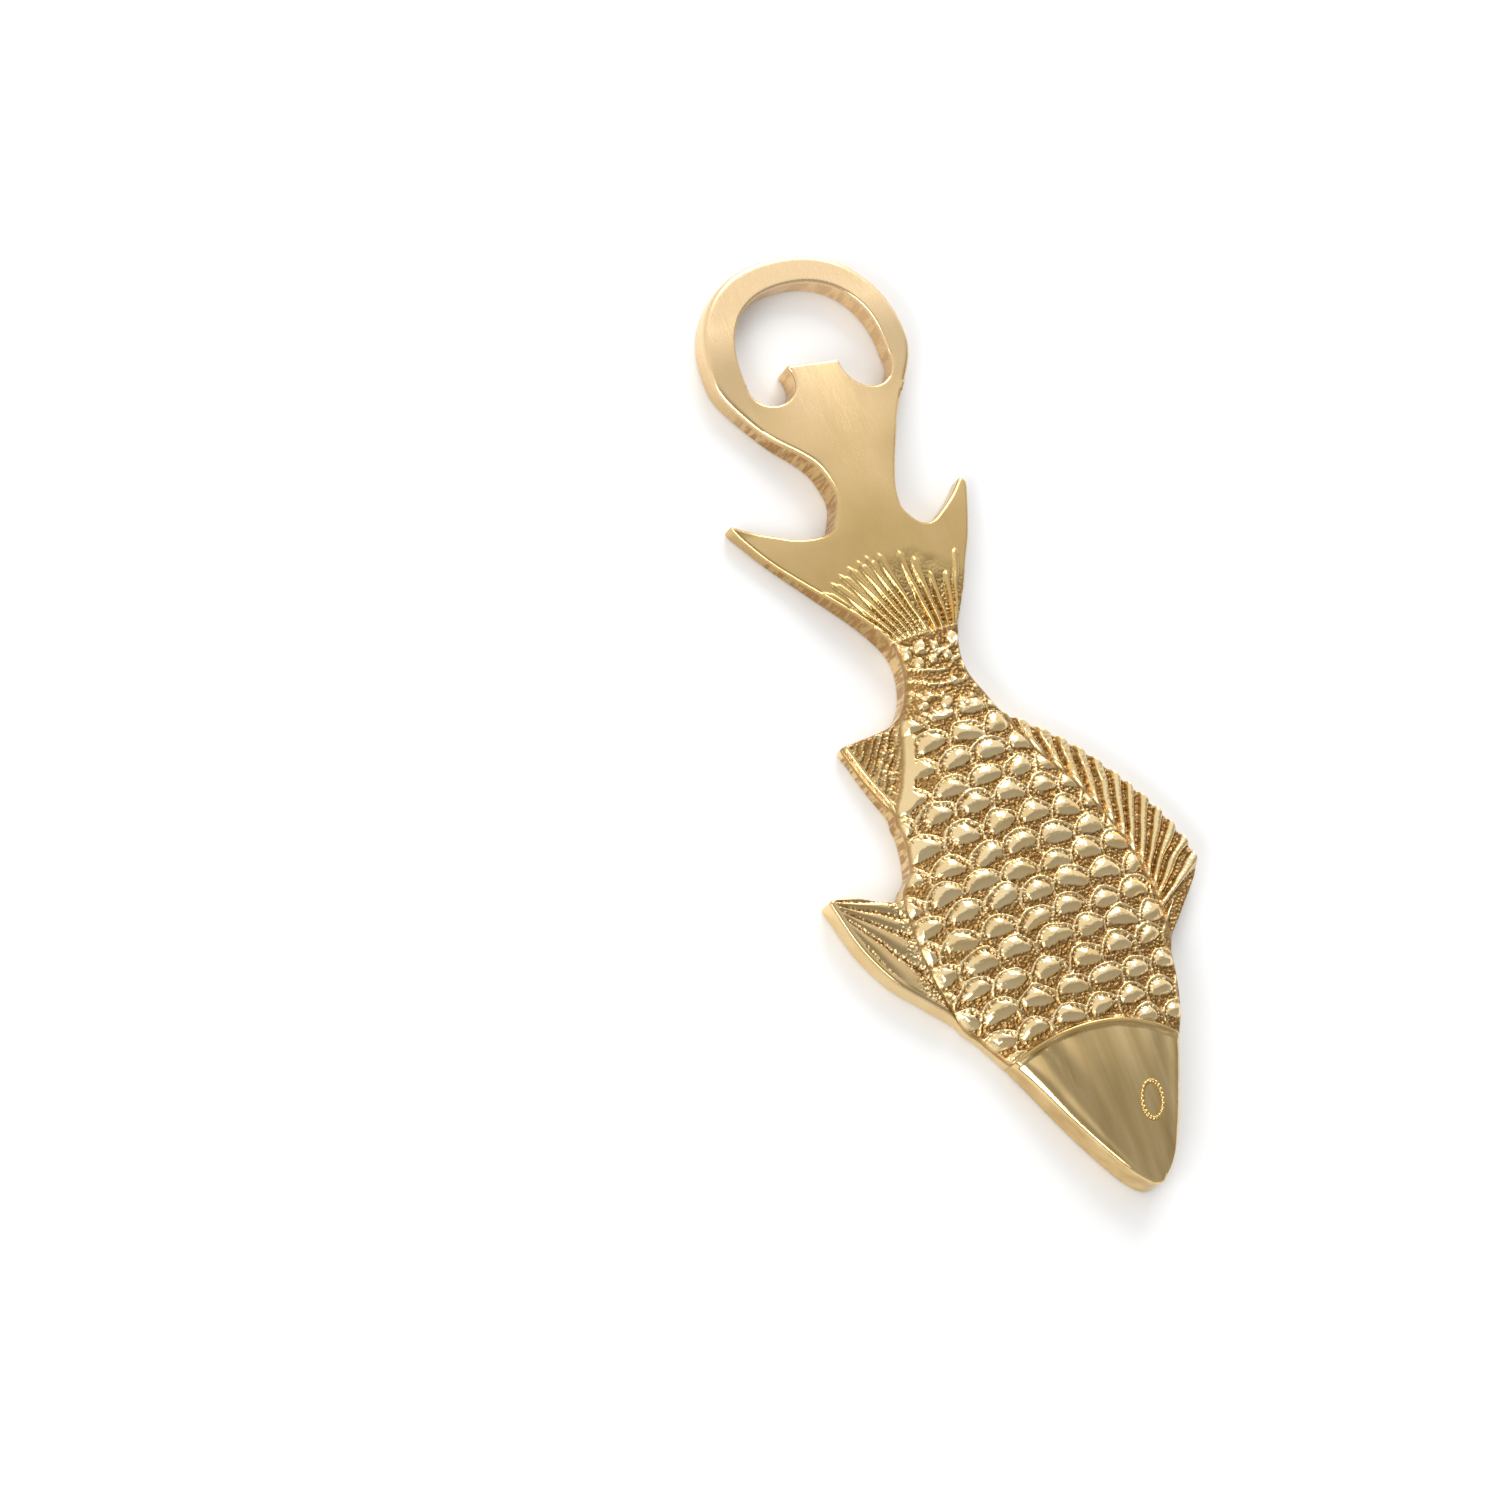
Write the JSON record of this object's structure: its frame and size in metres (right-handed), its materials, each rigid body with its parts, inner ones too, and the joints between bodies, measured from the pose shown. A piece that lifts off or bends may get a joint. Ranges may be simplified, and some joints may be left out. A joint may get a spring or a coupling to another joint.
{
  "type": "fish bottle opener",
  "caption": "Flat-backed cast brass bottle opener shaped as a fish, with scales, fins and a smooth head, and a toothed ring at its tail.",
  "frame": {"origin": "the flat_back mount: the point of the flat back within 1 mm of the middle of the length and the width, so the opener lies on z = 0", "axes": "+X from the ring to the fish's nose, +Y from the belly to the back fin, +Z out of the scaled face"},
  "size_m": [0.1414, 0.0556, 0.0073],
  "materials": {
    "satin_brass": "linished satin brass, brushed lengthwise",
    "cast_brass": "sand-cast relief with polished high spots and dark hollows",
    "polished_brass": "hand-polished brass, near mirror"
  },
  "bodies": {
    "root": {"ring": "satin_brass", "prying_tooth": "satin_brass", "neck": "satin_brass", "tail_fin": "satin_brass", "tail_stalk": "cast_brass", "body": "cast_brass", "gill_rim": "satin_brass", "head": "polished_brass", "eye_ring": "satin_brass", "dorsal_fin": "cast_brass", "anal_fin": "cast_brass", "pelvic_fin": "cast_brass"}
  },
  "joints": []
}
